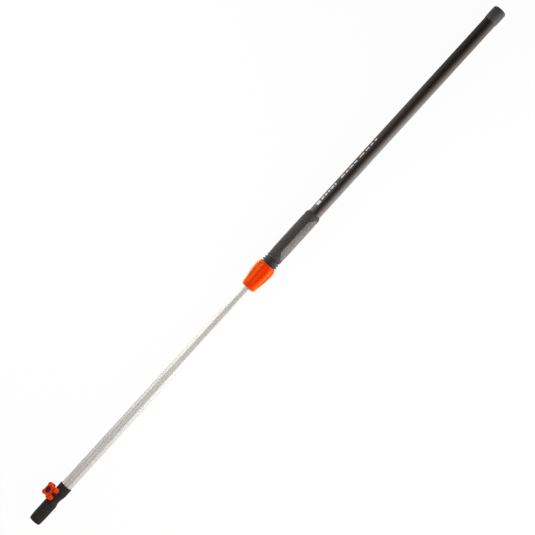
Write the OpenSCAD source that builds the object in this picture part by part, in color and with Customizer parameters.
// Two-section telescopic pole handle for window cleaning tools, 900 to 1450 mm long.
// The pole lies along X. The origin is the centre of the tool socket's mouth, +Z is up.
// A "clock" angle is measured about the pole from +Z towards +Y.

/* [Overall] */
// length of the fully extended pole
pole_length = 1450; // [1200:10:1800]
// smoothness of round parts
round_steps = 96; // [48:8:160]

/* [Tool socket] */
// length of the tool socket
socket_length = 100; // [80:1:120]
// outer radius of the socket
socket_r = 14; // [12:0.1:16]
// radius of the bore that takes a tool's spigot
spigot_r = 9.5; // [9:0.1:10.5]
// depth of the bore that takes a tool's spigot
spigot_depth = 78; // [60:1:80]
// radius at the narrowest place of the socket's waist
waist_r = 11.5; // [11:0.1:13.5]
// where the waist starts to narrow
waist_start = 50; // [45:0.5:52]
// where the narrowest stretch of the waist begins
waist_low = 62; // [58:0.5:63]
// where the narrowest stretch of the waist ends
waist_rise = 65.5; // [64:0.5:68]
// where the socket has its full radius again
waist_end = 82; // [78:0.5:83]
// depth of the seat for the inner tube
tube_seat = 16; // [12:1:18]
// radius of the boss under the knob
boss_r = 7; // [6:0.1:7.5]
// height of the boss above the pole axis
boss_top = 21.4; // [19:0.1:22]

/* [Clamp knob] */
// place of the knob along the pole
knob_x = 72; // [65:1:76]
// clock angle of the knob's axis
knob_clock = 50; // [0:5:90]
// distance of each lobe's axis from the knob's axis
lobe_offset = 13.1; // [12:0.1:15]
// radius of each lobe
lobe_r = 5.6; // [5:0.1:6.5]
// height of the lobes' underside above the pole axis
lobe_bottom = 15.8; // [15:0.1:17]
// height of the knob's face above the pole axis
knob_top = 30.7; // [29:0.1:34]
// height of the knob plate's underside above the pole axis
plate_bottom = 24.2; // [23:0.1:25]
// radius of the knob's hub
hub_r = 12.4; // [11:0.1:13]
// height of the hub rim's underside above the pole axis
rim_bottom = 26.2; // [25:0.1:28]
// radius of the neck under the hub
neck_r = 8.6; // [8:0.1:10]
// radius of the round cap in the knob's face
cap_disc_r = 7.7; // [6:0.1:8]
// shank radius of the clamp screw (M6)
screw_r = 2.98; // [2.5:0.01:3]

/* [Inner tube] */
// outer radius of the inner tube
inner_r = 12.2; // [11:0.1:12.5]
// wall thickness of the inner tube
inner_wall = 1.2; // [1:0.1:1.5]
// width of the guide grooves along the inner tube
groove_w = 7; // [5:0.5:9]
// distance of a groove's floor from the axis
groove_floor = 11.1; // [10.8:0.1:11.4]
// clock angle of the first groove
groove_clock = 4; // [0:1:20]
// place of the inner tube's hidden end
inner_end = 746.5; // [740:0.5:760]

/* [Clamp nut] */
// place of the nut's small end
nut_start = 662; // [655:0.5:670]
// place of the nut's large end
nut_end = 726; // [720:0.5:730]
// number of flutes round the nut
flute_count = 8; // [6:1:12]
// clock angle of the first flute
flute_clock = 37.5; // [0:0.5:45]
// radius of the cutter that makes a flute
flute_r = 9; // [6:0.5:14]

/* [Thread] */
// pitch from one crest to the next
thread_pitch = 6; // [5:0.5:7]
// number of starts
thread_starts = 2; // [1:1:3]
// crest radius of the collar's thread
crest_r = 18.85; // [18:0.05:19.2]
// root radius of the collar's thread
root_r = 15.4; // [15:0.1:16]
// place where the collar's thread begins
thread_start = 698.3; // [698:0.1:704]

/* [Collar and grip] */
// place of the collar's mouth
collar_start = 697; // [695:1:700]
// place of the collar's hidden end
collar_end = 801; // [780:1:820]
// place where the grip sleeve begins
grip_start = 743; // [740:1:750]
// place where the grip sleeve ends
grip_end = 870.5; // [860:1:880]
// outer radius of the grip sleeve
grip_r = 17.1; // [16:0.1:18]
// spacing of the rings moulded round the grip
ring_pitch = 5.3; // [2:0.1:6]
// depth between two rings
ring_depth = 0.45; // [0.2:0.05:0.6]
// clock angle of the middle of the first grip pad
pad_clock = -51; // [-90:1:0]
// length of a grip pad
pad_length = 113.6; // [80:0.2:116]
// width of a grip pad, straight across
pad_width = 23.4; // [12:0.2:26]
// outer radius of a grip pad
pad_r = 17.35; // [17:0.05:18]

/* [Outer tube] */
// outer radius of the outer tube
outer_r = 14; // [13.5:0.1:15]
// bore radius of the outer tube
outer_bore_r = 12.9; // [12.5:0.1:13.4]
// place of the outer tube's open end inside the collar
outer_start = 746; // [744:1:750]

/* [End cap] */
// length of the end cap
cap_length = 34; // [25:1:50]
// outer radius of the end cap
cap_r = 15.2; // [14.6:0.1:17]
// thickness of the cap's end wall
cap_floor = 3; // [2:0.5:5]

/* [Hidden] */
$fn = round_steps;
play = 0.02;
slide_gap = 0.1;
eps = 0.01;
orange = [0.93, 0.22, 0.04];
black_plastic = [0.13, 0.12, 0.12];
dark_grey = [0.24, 0.23, 0.22];
mid_grey = [0.45, 0.43, 0.41];
silver = [0.78, 0.77, 0.75];
steel = [0.62, 0.62, 0.63];
brass = [0.78, 0.62, 0.30];
coated_black = [0.10, 0.09, 0.09];
thread_lead = thread_pitch * thread_starts;
cap_start = pole_length - cap_length;
tube_stop = pole_length - cap_floor;
seat_start = socket_length - tube_seat;
bore_in_tube = inner_r - inner_wall;
groove_inside = groove_floor - inner_wall;
collar_bore = 12.5;
ferrule_start = 672;
ferrule_end = 705;
collar_pin_x = 786;
collar_pin_r = 2;
socket_rivet_x = 92;
bush_rivet_x = 733;
rivet_r = 2;
wiper_start = 664;
wiper_end = 668;
wiper_seat_r = 13.7;
knob_cap_floor = 29;
screw_tip = 9.75;
screw_head_bottom = 26;
hex_flats = 10;

// ---- helpers ----

// points of an arc in the profile plane
function arc(c, r, from, to, steps) =
    [for (i = [0 : steps]) [c[0] + r * cos(from + (to - from) * i / steps),
                            c[1] + r * sin(from + (to - from) * i / steps)]];

// height of a smooth step from 0 to 1
function ease(t) = t <= 0 ? 0 : t >= 1 ? 1 : t * t * (3 - 2 * t);

// lays the local Z axis along the pole
module along_pole() {
    rotate([0, 90, 0]) children();
}

// turns the local Z axis to a clock angle about the pole
module at_clock(angle) {
    rotate([-angle, 0, 0]) children();
}

// body of revolution about the pole, from points [radius, place along the pole]
module turned(points) {
    along_pole() rotate_extrude() polygon(points);
}

// straight round bar along the pole
module pole_bar(r, from, to) {
    along_pole() translate([0, 0, from]) cylinder(r = r, h = to - from);
}

// round bar that points away from the pole axis
module radial_bar(r, x, clock, from, to) {
    at_clock(clock) translate([x, 0, from]) cylinder(r = r, h = to - from);
}

// outline of the inner tube's outside (or inside), with its two grooves
module grooved_outline(r, floor_r, width) {
    difference() {
        circle(r = r);
        for (side = [0, 180])
            rotate(side - groove_clock) translate([-r - 1, -width / 2])
                square([r + 1 - floor_r, width]);
    }
}

// one turn-by-turn ridge of a screw thread along the local Z axis
// section: points [radius, offset along the axis]; ends: fade of the ridge height at both ends
module thread_ridge(section, floor_r, from, turns, start_angle, lead, steps) {
    count = round(turns * steps);
    corners = len(section);
    pts = [for (i = [0 : count], p = section)
        let (a = start_angle + 360 * i / steps,
             fade = min(1, 0.3 + min(i, count - i) / (steps / 4)),
             r = floor_r + (p[0] - floor_r) * fade)
        [r * cos(a), r * sin(a), from + lead * i / steps + p[1]]];
    sides = [for (i = [0 : count - 1], j = [0 : corners - 1])
        let (k = (j + 1) % corners, a = i * corners, b = a + corners)
        each [[a + j, b + j, b + k], [a + j, b + k, a + k]]];
    first = [for (j = [0 : corners - 1]) j];
    last = [for (j = [corners - 1 : -1 : 0]) count * corners + j];
    polyhedron(points = pts, faces = concat(sides, [first, last]), convexity = 10);
}

// ---- tool socket ----

socket_profile = concat(
    [[spigot_r, 0]],
    arc([10.35, 2.6], 2.6, 270, 360, 6),
    [[13.15, 5], [13.35, 8], [13.65, 12], [13.9, 18], [socket_r, 26]],
    [[socket_r, waist_start]],
    [for (i = [1 : 6])
        let (t = i / 6)
        [socket_r - (socket_r - waist_r) * ease(t), waist_start + (waist_low - waist_start) * t]],
    [for (i = [0 : 7])
        let (t = i / 8)
        [waist_r + (socket_r - waist_r) * ease(t), waist_rise + (waist_end - waist_rise) * t]],
    [[socket_r, waist_end]],
    arc([socket_r - 1.2, socket_length - 1.2], 1.2, 0, 90, 5),
    [[inner_r + play, socket_length], [inner_r + play, seat_start]],
    [[0, seat_start], [0, spigot_depth], [spigot_r, spigot_depth]]);

plug_length = 40;

module tool_socket() {
    color(black_plastic)
    difference() {
        union() {
            turned(socket_profile);
            // boss that holds the threaded insert
            difference() {
                radial_bar(boss_r, knob_x, knob_clock, 5, boss_top);
                pole_bar(spigot_r + 0.5, 50, 95);
            }
            // plug inside the inner tube
            along_pole() translate([0, 0, seat_start - eps])
                linear_extrude(plug_length)
                    grooved_outline(bore_in_tube - play, groove_inside - play, groove_w + 2.3);
        }
        pole_bar(spigot_r, -1, spigot_depth - 4);
        radial_bar(4.5, knob_x, knob_clock, 11.4, boss_top + 1);
        radial_bar(screw_r + 0.3, knob_x, knob_clock, 6, 12);
        pole_bar(6, seat_start, seat_start + plug_length + 1);
        radial_bar(rivet_r + play, socket_rivet_x, knob_clock + 180, 7.5, 16);
    }
}

// brass insert pressed into the boss
module thread_insert() {
    color(brass)
    difference() {
        union() {
            radial_bar(4.48, knob_x, knob_clock, 11.42, 14.4);
            radial_bar(4.1, knob_x, knob_clock, 14.3, 15.7);
            radial_bar(4.48, knob_x, knob_clock, 15.6, 18);
            radial_bar(4.1, knob_x, knob_clock, 17.9, 19.1);
            radial_bar(4.48, knob_x, knob_clock, 19, boss_top);
        }
        radial_bar(screw_r + 0.04, knob_x, knob_clock, 11, boss_top + 1);
    }
}

// round-headed rivet through the socket's seat and the inner tube
module socket_rivet() {
    color(steel)
    at_clock(knob_clock + 180) translate([socket_rivet_x, 0, 0])
        rotate_extrude()
            polygon([[0, 8], [rivet_r, 8], [rivet_r, socket_r + 0.02], [3.4, socket_r + 0.02],
                     [3.2, socket_r + 0.5], [2.2, socket_r + 0.9], [0, socket_r + 1.05]]);
}

// ---- inner tube ----

module inner_tube() {
    color(silver)
    difference() {
        along_pole() translate([0, 0, seat_start]) linear_extrude(inner_end - seat_start)
            difference() {
                grooved_outline(inner_r, groove_floor, groove_w);
                grooved_outline(bore_in_tube, groove_inside, groove_w + 2.2);
            }
        radial_bar(rivet_r + play, socket_rivet_x, knob_clock + 180, 5, 16);
        radial_bar(rivet_r + play, bush_rivet_x, 90, 5, 16);
        radial_bar(rivet_r + play, bush_rivet_x, -90, 5, 16);
    }
}

// plug in the hidden end of the inner tube: its head runs in the outer tube
module guide_plug() {
    head_r = outer_bore_r - slide_gap;
    color(black_plastic)
    difference() {
        union() {
            turned([[0, inner_end + play], [head_r - 0.5, inner_end + play],
                    [head_r, inner_end + 0.6], [head_r, inner_end + 9],
                    [head_r - 0.6, inner_end + 9.6], [head_r - 0.6, inner_end + 20.4],
                    [head_r, inner_end + 21], [head_r, inner_end + 28.5],
                    [head_r - 1.5, inner_end + 30], [0, inner_end + 30]]);
            along_pole() translate([0, 0, inner_end - 30]) linear_extrude(31)
                grooved_outline(bore_in_tube - play, groove_inside - play, groove_w + 2.3);
        }
        pole_bar(6, inner_end - 31, inner_end + 31);
        radial_bar(rivet_r + play, bush_rivet_x, 90, 5, 16);
        radial_bar(rivet_r + play, bush_rivet_x, -90, 5, 16);
    }
}

module plug_rivet(side) {
    color(steel) radial_bar(rivet_r, bush_rivet_x, side, 7.5, inner_r - 0.05);
}

module plug_rivet_left() {
    plug_rivet(90);
}

module plug_rivet_right() {
    plug_rivet(-90);
}

// ---- clamp knob ----

// puts children in the knob's frame: Z away from the pole, zero on the pole axis
module knob_frame() {
    at_clock(knob_clock) translate([knob_x, 0, 0]) children();
}

// M6 plain washer that travels with the screw
module knob_washer() {
    washer_thickness = 1.6;
    color(steel) knob_frame()
    translate([0, 0, plate_bottom - washer_thickness])
    difference() {
        cylinder(r = 6, h = washer_thickness - play);
        translate([0, 0, -1]) cylinder(r = screw_r + 0.1, h = washer_thickness + 2);
    }
}

// one lobe of the knob, rounded above and below
module lobe() {
    edge = 2.6;
    foot = 1.4;
    rotate_extrude()
        polygon(concat([[0, lobe_bottom]],
                       arc([lobe_r - foot, lobe_bottom + foot], foot, 270, 360, 5),
                       arc([lobe_r - edge, knob_top - edge], edge, 0, 90, 7),
                       [[0, knob_top]]));
}

module clamp_knob() {
    web_lift = 0.5;
    color(orange) knob_frame()
    difference() {
        union() {
            rotate_extrude()
                polygon(concat([[0, plate_bottom], [neck_r, plate_bottom], [neck_r, rim_bottom]],
                               [[hub_r - 0.6, rim_bottom], [hub_r, rim_bottom + 0.6]],
                               arc([hub_r - 1.5, knob_top - 1.5], 1.5, 0, 90, 6),
                               [[0, knob_top]]));
            for (a = [45 : 90 : 315])
                rotate(a) translate([lobe_offset, 0, 0]) lobe();
            // webs that join each lobe to the hub
            for (a = [45 : 90 : 315])
                rotate(a) translate([4, -3.6, plate_bottom + web_lift])
                    cube([lobe_offset - 4, 7.2, knob_top - plate_bottom - web_lift - 0.3]);
        }
        translate([0, 0, knob_cap_floor]) cylinder(r = cap_disc_r + 0.05, h = 4);
        translate([0, 0, plate_bottom - 1]) cylinder(r = screw_r + play, h = 8);
        translate([0, 0, screw_head_bottom]) hex_bar(hex_flats + 0.1, 4);
        // clearance round the boss
        translate([0, 0, 10]) cylinder(r = boss_r + 0.6, h = plate_bottom - 10);
    }
}

// hexagonal bar given by its width across flats
module hex_bar(flats, h) {
    cylinder(d = flats / cos(30), h = h, $fn = 6);
}

module knob_cap() {
    color(black_plastic) knob_frame()
    rotate_extrude()
        polygon([[0, knob_cap_floor + play], [cap_disc_r, knob_cap_floor + play],
                 [cap_disc_r, knob_top - 1.2], [cap_disc_r - 0.3, knob_top - 0.9],
                 [4, knob_top - 0.75], [0, knob_top - 0.75]]);
}

// M6 screw with a low hexagon head held in the knob
module clamp_screw() {
    color(steel) knob_frame()
    union() {
        translate([0, 0, screw_tip + 0.8])
            cylinder(r = screw_r, h = screw_head_bottom - screw_tip - 0.7);
        translate([0, 0, screw_tip]) cylinder(r1 = 2.2, r2 = screw_r, h = 0.8 + eps);
        translate([0, 0, screw_head_bottom + play])
            hex_bar(hex_flats, knob_cap_floor - screw_head_bottom - 2 * play);
    }
}

// ---- clamp nut ----

nut_outside = [[14.1, 0], [14.8, 0.7], [15.4, 1.8], [16.15, 3.9], [16.8, 6.6], [17.5, 10.5],
               [18.2, 15], [18.95, 19.5], [19.7, 24], [20.4, 28.5], [21.0, 33], [21.55, 38],
               [21.95, 43], [22.2, 47.5], [22.25, 51], [22.1, 53.5], [21.8, 56], [21.3, 58.3],
               [20.75, 60.2], [20.2, 61.9], [19.85, 63.2], [19.7, 64]];

// profile of the nut's inside, from its large end to its small end
nut_inside = [[19.3, nut_end], [19.15, nut_end - 0.4], [19.15, 699.5], [15.6, 696], [15.1, 694],
              [15.1, 671.6], [12.6, 671.6], [12.6, wiper_end], [wiper_seat_r, wiper_end],
              [wiper_seat_r, wiper_start], [12.7, wiper_start], [12.7, nut_start]];

// cutters for one flute, shallow at the small end
module flute() {
    translate([nut_start + 4, 0, 16.55 + flute_r]) rotate([0, 90 - 6.6, 0])
        cylinder(r = flute_r, h = 39.5);
    translate([nut_start + 43.2, 0, 21.07 + flute_r]) rotate([0, 90, 0])
        cylinder(r = flute_r, h = 30);
}

module clamp_nut() {
    inside_ridge = [[19.45, -2.42], [15.9, -0.3], [15.9, 0.3], [19.45, 2.42]];
    ridge_start = 702.6;
    color(orange)
    union() {
        difference() {
            turned(concat([for (p = nut_outside) [p[0], nut_start + p[1]]], nut_inside));
            for (i = [0 : flute_count - 1])
                at_clock(flute_clock + i * 360 / flute_count) flute();
        }
        for (s = [0 : thread_starts - 1])
            along_pole()
                thread_ridge(inside_ridge, 19.45, ridge_start, 1.25,
                             360 * (ridge_start - thread_start - thread_pitch / 2) / thread_lead
                             + s * 360 / thread_starts,
                             thread_lead, 30);
    }
}

// rubber ring that wipes the inner tube
module nut_wiper() {
    color(dark_grey)
    turned([[12.5, wiper_start + 0.1], [wiper_seat_r - play, wiper_start + 0.1],
            [wiper_seat_r - play, wiper_end - 0.1], [12.9, wiper_end - 0.1], [12.5, wiper_start + 2.5]]);
}

// split ring that the nut presses on the inner tube
module ferrule() {
    slit_w = 1.6;
    bore = inner_r + slide_gap;
    color(mid_grey)
    difference() {
        turned([[bore, ferrule_start], [14.2, ferrule_start], [14.7, ferrule_start + 0.8],
                [14.7, 692], [14.3, collar_start], [12.95, ferrule_end - 0.3],
                [bore, ferrule_end - 0.3]]);
        for (a = [22.5 : 90 : 292.5])
            at_clock(a) translate([ferrule_start + 9, -slit_w / 2, 10]) cube([40, slit_w, 8]);
        at_clock(180) translate([ferrule_start - 1, -slit_w / 2, 10]) cube([45, slit_w, 8]);
    }
}

// ---- collar ----

module threaded_collar() {
    ridge = [[root_r - 0.3, 2.75], [crest_r, 0.45], [crest_r, -0.45], [root_r - 0.3, -2.75]];
    thread_turns = 3.3;
    key_w = 6.2;
    key_floor = 11.45;
    key_end = outer_start - 1.5;
    color(dark_grey)
    difference() {
        union() {
            turned([[14.6, collar_start], [15.0, collar_start], [root_r, collar_start + 1],
                    [root_r, collar_end - 0.5], [root_r - 0.5, collar_end],
                    [outer_r + play, collar_end], [outer_r + play, outer_start],
                    [collar_bore, outer_start], [collar_bore, 709]]);
            for (s = [0 : thread_starts - 1])
                along_pole()
                    thread_ridge(ridge, root_r - 0.3, thread_start + 2.8, thread_turns,
                                 360 * 2.8 / thread_lead + s * 360 / thread_starts,
                                 thread_lead, 30);
            // keys that run in the inner tube's grooves
            for (side = [0, 180])
                at_clock(groove_clock + side)
                    translate([712, -key_w / 2, key_floor])
                        cube([key_end - 712, key_w, 2.2]);
        }
        radial_bar(collar_pin_r + play, collar_pin_x, 90, 10, 20);
        radial_bar(collar_pin_r + play, collar_pin_x, -90, 10, 20);
    }
}

module collar_pin(side) {
    color(steel) radial_bar(collar_pin_r, collar_pin_x, side, outer_bore_r + 0.08, root_r - 0.2);
}

module collar_pin_left() {
    collar_pin(90);
}

module collar_pin_right() {
    collar_pin(-90);
}

// ---- outer tube and cap ----

module outer_tube() {
    color(coated_black)
    difference() {
        pole_bar(outer_r, outer_start + play, tube_stop - play);
        pole_bar(outer_bore_r, outer_start - 1, tube_stop + 1);
        radial_bar(collar_pin_r + play, collar_pin_x, 90, 10, 20);
        radial_bar(collar_pin_r + play, collar_pin_x, -90, 10, 20);
    }
}

module end_cap() {
    edge = 6;
    color(mid_grey)
    turned(concat([[outer_r + play, tube_stop], [outer_r + play, cap_start]],
                  [[outer_r + 0.3, cap_start], [cap_r - 0.25, cap_start + 5]],
                  [[cap_r, cap_start + 7]],
                  arc([cap_r - edge, pole_length - edge - 0.7], edge, 0, 84, 9),
                  [[5, pole_length - 0.2], [0, pole_length], [0, tube_stop]]));
}

// ---- grip ----

ring_count = floor((grip_end - 11 - grip_start - 4) / ring_pitch);

// outside of the sleeve: a plain rim, the rings, then a taper down to the tube
sleeve_outside = concat(
    [[grip_r - 0.5, grip_start], [grip_r, grip_start + 0.8]],
    [for (i = [0 : ring_count - 1])
        let (x = grip_start + 4 + i * ring_pitch)
        each [[grip_r, x], [grip_r - ring_depth, x + ring_pitch * 0.2],
              [grip_r - ring_depth, x + ring_pitch * 0.5], [grip_r, x + ring_pitch * 0.8]]],
    [[grip_r, grip_end - 6.5], [grip_r - 0.35, grip_end - 5.2], [grip_r - 1.1, grip_end - 3.6],
     [grip_r - 2.1, grip_end - 1.8], [outer_r + 0.5, grip_end - 0.7], [outer_r + 0.2, grip_end]]);

// rounded corner of an outline, between two edges whose normals point at angles a and b
function corner_arc(p, r, a, b) =
    arc([p[0] - r * cos((a + b) / 2) / cos((b - a) / 2),
         p[1] - r * sin((a + b) / 2) / cos((b - a) / 2)], r, a, b, 4);

// outline of a pad, seen from above it: a long strip with slanted ends
module pad_outline(grow) {
    half_l = pad_length / 2 + grow;
    half_w = pad_width / 2 + grow;
    cut_l = 13.8;
    cut_w = 10.2;
    slant = atan2(cut_l, cut_w);
    corner = 2;
    quarter = concat(corner_arc([half_l, half_w - cut_w], corner / 2, 0, slant),
                     corner_arc([half_l - cut_l, half_w], corner, slant, 90));
    last = len(quarter) - 1;
    translate([pad_x, 0])
        polygon(concat(quarter,
                       [for (i = [last : -1 : 0]) [-quarter[i][0], quarter[i][1]]],
                       [for (p = quarter) [-p[0], -p[1]]],
                       [for (i = [last : -1 : 0]) [quarter[i][0], -quarter[i][1]]]));
}

pad_bed_r = 16;
pad_x = 806;

// space above the pads' bed, cut from the sleeve
module pad_pocket(clock) {
    difference() {
        at_clock(clock) translate([0, 0, 8]) linear_extrude(14) pad_outline(0);
        pole_bar(pad_bed_r, grip_start, grip_end);
    }
}

module grip_sleeve() {
    color(dark_grey)
    difference() {
        turned(concat(sleeve_outside,
                      [[outer_r + play, grip_end], [outer_r + play, collar_end + 0.3],
                       [root_r + play, collar_end + 0.3], [root_r + play, grip_start]]));
        pad_pocket(pad_clock);
        pad_pocket(pad_clock + 180);
    }
}

// soft pad set in the sleeve, standing a little proud of it
module grip_pad(clock) {
    color(mid_grey)
    difference() {
        intersection() {
            at_clock(clock) translate([0, 0, 8]) linear_extrude(14) pad_outline(-0.04);
            pole_bar(pad_r, grip_start, grip_end);
        }
        pole_bar(pad_bed_r + play, grip_start - 1, grip_end + 1);
    }
}

module grip_pad_front() {
    grip_pad(pad_clock);
}

module grip_pad_back() {
    grip_pad(pad_clock + 180);
}

// ---- the part ----

tool_socket();
thread_insert();
socket_rivet();
inner_tube();
guide_plug();
plug_rivet_left();
plug_rivet_right();
knob_washer();
clamp_knob();
knob_cap();
clamp_screw();
clamp_nut();
nut_wiper();
ferrule();
threaded_collar();
collar_pin_left();
collar_pin_right();
outer_tube();
grip_sleeve();
grip_pad_front();
grip_pad_back();
end_cap();
